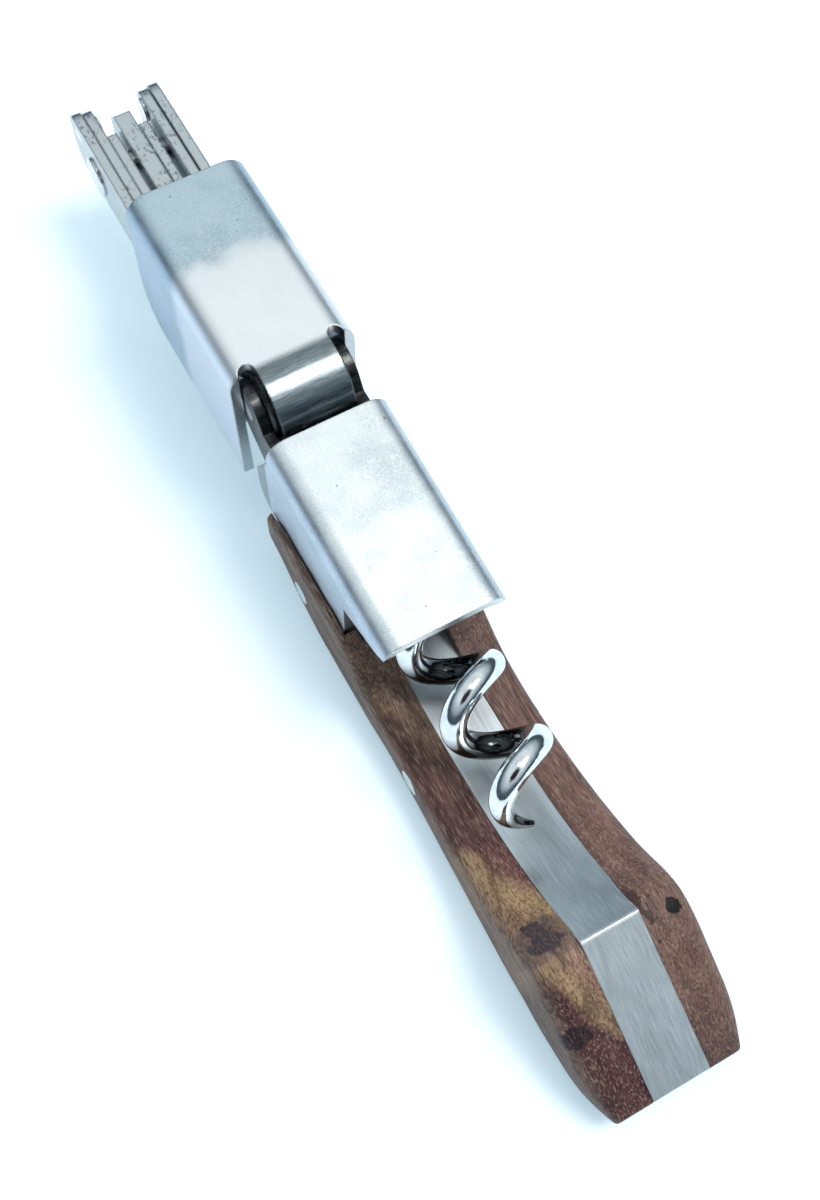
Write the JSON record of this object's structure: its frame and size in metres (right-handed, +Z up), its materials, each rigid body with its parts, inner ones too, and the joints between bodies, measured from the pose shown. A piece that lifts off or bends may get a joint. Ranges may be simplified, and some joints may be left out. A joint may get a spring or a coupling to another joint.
{
  "type": "pocket lever corkscrew",
  "caption": "Folding pocket corkscrew: wire worm under a sheet-steel carriage, hinged rack housing with a sliding bottle foot, foil blade, wood-scaled lever handle",
  "frame": {"origin": "on the surface the handle lies on, straight under the lever pivot, in the middle of the tool's width", "axes": "+X runs along the tool from the foot to the butt of the handle, +Y across it, +Z up away from the surface"},
  "size_m": [0.1269, 0.0172, 0.0278],
  "materials": {
    "spine_steel": "brushed lengthwise",
    "scale_wood": "oiled, fine streaky pores",
    "pin_steel": "ground flush",
    "inner_steel": "bare, shaded",
    "blade_steel": "ground",
    "casing_steel": "bead-blasted satin",
    "worm_chrome": "polished",
    "rack_steel": "satin faces, sheared edges"
  },
  "bodies": {
    "handle": {"handle_spine": "spine_steel", "scale_left": "scale_wood", "scale_right": "scale_wood", "lever_pivot_pin": "pin_steel", "scale_rivet": "pin_steel", "blade_pin": "pin_steel", "blade_spring": "inner_steel"},
    "drive_pawl": {"drive_pawl": "inner_steel"},
    "foil_blade": {"foil_blade": "blade_steel"},
    "carriage": {"carriage_cover": "casing_steel", "hinge_cheek_left": "inner_steel", "hinge_cheek_right": "inner_steel", "hinge_barrel": "inner_steel", "hinge_pin": "pin_steel", "worm_block": "inner_steel", "worm": "worm_chrome", "worm_pin": "pin_steel"},
    "rack_housing": {"rack_housing": "casing_steel", "rack_guide": "inner_steel", "guide_pin": "pin_steel"},
    "racks": {"rack_left": "rack_steel", "rack_right": "rack_steel", "foot_plate_left": "rack_steel", "foot_plate_right": "rack_steel", "tip_rivet_left": "pin_steel", "tip_rivet_right": "pin_steel", "foot_pin": "pin_steel", "rack_spacer": "pin_steel", "cap_lifter": "rack_steel"},
    "lip_rest": {"lip_rest": "rack_steel"}
  },
  "joints": [
    {"name": "carriage_hinge", "type": "hinge", "parent": "handle", "child": "carriage", "pos_m": [0, 0, 0.0056], "axis": [0, -1, 0], "range_deg": [0, 90]},
    {"name": "housing_hinge", "type": "hinge", "parent": "carriage", "child": "rack_housing", "pos_m": [-0.014, 0, 0.0221], "axis": [0, 1, 0], "range_deg": [0, 90]},
    {"name": "rack_slide", "type": "slide", "parent": "rack_housing", "child": "racks", "axis": [-1, 0, 0], "range_m": [0, 0.016]},
    {"name": "lip_hinge", "type": "hinge", "parent": "racks", "child": "lip_rest", "pos_m": [-0.0564, 0, 0.0152], "axis": [0, 1, 0], "range_deg": [0, 90]},
    {"name": "pawl_hinge", "type": "hinge", "parent": "handle", "child": "drive_pawl", "pos_m": [0, 0, 0.0056], "axis": [0, 1, 0], "range_deg": [-12, 12]},
    {"name": "blade_hinge", "type": "hinge", "parent": "handle", "child": "foil_blade", "pos_m": [0.0564, 0, 0.0046], "axis": [0, -1, 0], "range_deg": [0, 150]}
  ]
}
